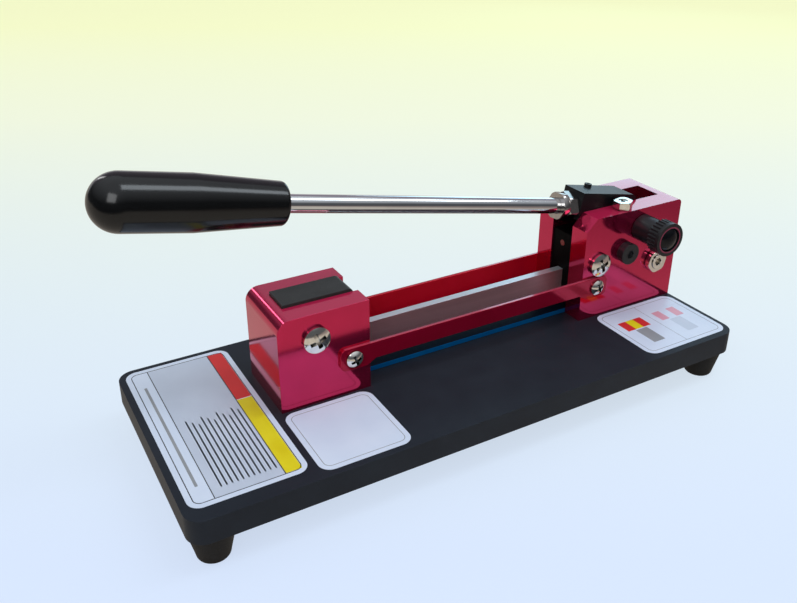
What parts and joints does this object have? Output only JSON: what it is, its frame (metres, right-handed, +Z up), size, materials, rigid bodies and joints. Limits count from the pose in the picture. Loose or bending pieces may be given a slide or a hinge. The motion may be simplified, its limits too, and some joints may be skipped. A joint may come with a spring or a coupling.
{
  "type": "paper cutter",
  "caption": "Lever paper cutter: a long lever in a slotted tower drives a guided blade down onto a cutting strip on a footed base, with plate guards and a pull plunger.",
  "frame": {"origin": "on the table under the middle of the whole cutter's box", "axes": "+X along the blade from the handle to the lever's tower, +Y from the front guard to the rear guard, +Z up"},
  "size_m": [0.3764, 0.147, 0.1811],
  "materials": {
    "black_base": "satin black coating",
    "rubber": "matte",
    "crimson_tower": "gloss crimson anodised",
    "crimson_guard": "gloss crimson anodised",
    "zinc_screws": "bright plated",
    "black_screws": "black oxide",
    "pad": "matte",
    "stick": "satin blue",
    "blade_steel": "ground",
    "black_arm": "satin black",
    "bright_steel": "polished",
    "red_plug": "gloss",
    "bush": "turned",
    "grip": "gloss",
    "plunger_steel": "turned",
    "spring": "drawn wire",
    "knob": "satin",
    "knob_cap": "gloss"
  },
  "bodies": {
    "frame": {"base_plate": "black_base", "feet": "rubber", "foot_screws": "zinc_screws", "left_tower": "crimson_tower", "right_tower": "crimson_tower", "tower_screws": "black_screws", "front_guard": "crimson_guard", "rear_guard": "crimson_guard", "guard_screws": "zinc_screws", "bumper_pad": "pad", "cutting_stick": "stick", "left_guide_screw": "zinc_screws", "guide_bushes": "bush", "right_guide_screw": "zinc_screws", "lever_pivot_screw": "black_screws", "pivot_washer": "black_screws", "pivot_lock_screw": "zinc_screws", "pivot_lock_nut": "zinc_screws", "stop_screw": "zinc_screws", "stop_nut": "zinc_screws", "plunger_body": "plunger_steel", "plunger_spring": "spring"},
    "carriage": {"blade": "blade_steel", "blade_carrier": "black_arm", "carrier_screws": "zinc_screws", "drive_pin": "bright_steel", "carrier_plug": "red_plug"},
    "lever": {"lever_arm": "black_arm", "lever_rod": "bright_steel", "rod_nut": "bright_steel", "jam_nut": "bright_steel", "rod_lock_screw": "black_screws", "handle_grip": "grip"},
    "plunger": {"plunger_pin": "bright_steel"},
    "knob": {"plunger_knob": "knob", "knob_cap": "knob_cap"}
  },
  "joints": [
    {"name": "lever_hinge", "type": "hinge", "parent": "frame", "child": "lever", "pos_m": [0.14113, 0.01125, 0.0774], "axis": [0, 1, 0], "range_deg": [-10.4, 29.12]},
    {"name": "carriage_slide", "type": "slide", "parent": "frame", "child": "carriage", "axis": [-0.342, 0, 0.9397], "range_m": [-0.00269, 0.00752]},
    {"name": "plunger_pull", "type": "slide", "parent": "frame", "child": "plunger", "axis": [0, -1, 0], "range_m": [0, 0.006], "stiffness_N_per_m": 300, "springref_m": -0.004, "deforming": ["plunger_spring"]},
    {"name": "knob_turn", "type": "hinge", "parent": "plunger", "child": "knob", "pos_m": [0.15373, 0.01125, 0.0927], "axis": [0, -1, 0], "continuous": true}
  ],
  "couplings": [
    {"joint": "carriage_slide", "follows": "lever_hinge", "m_per_rad": 0.014802}
  ]
}
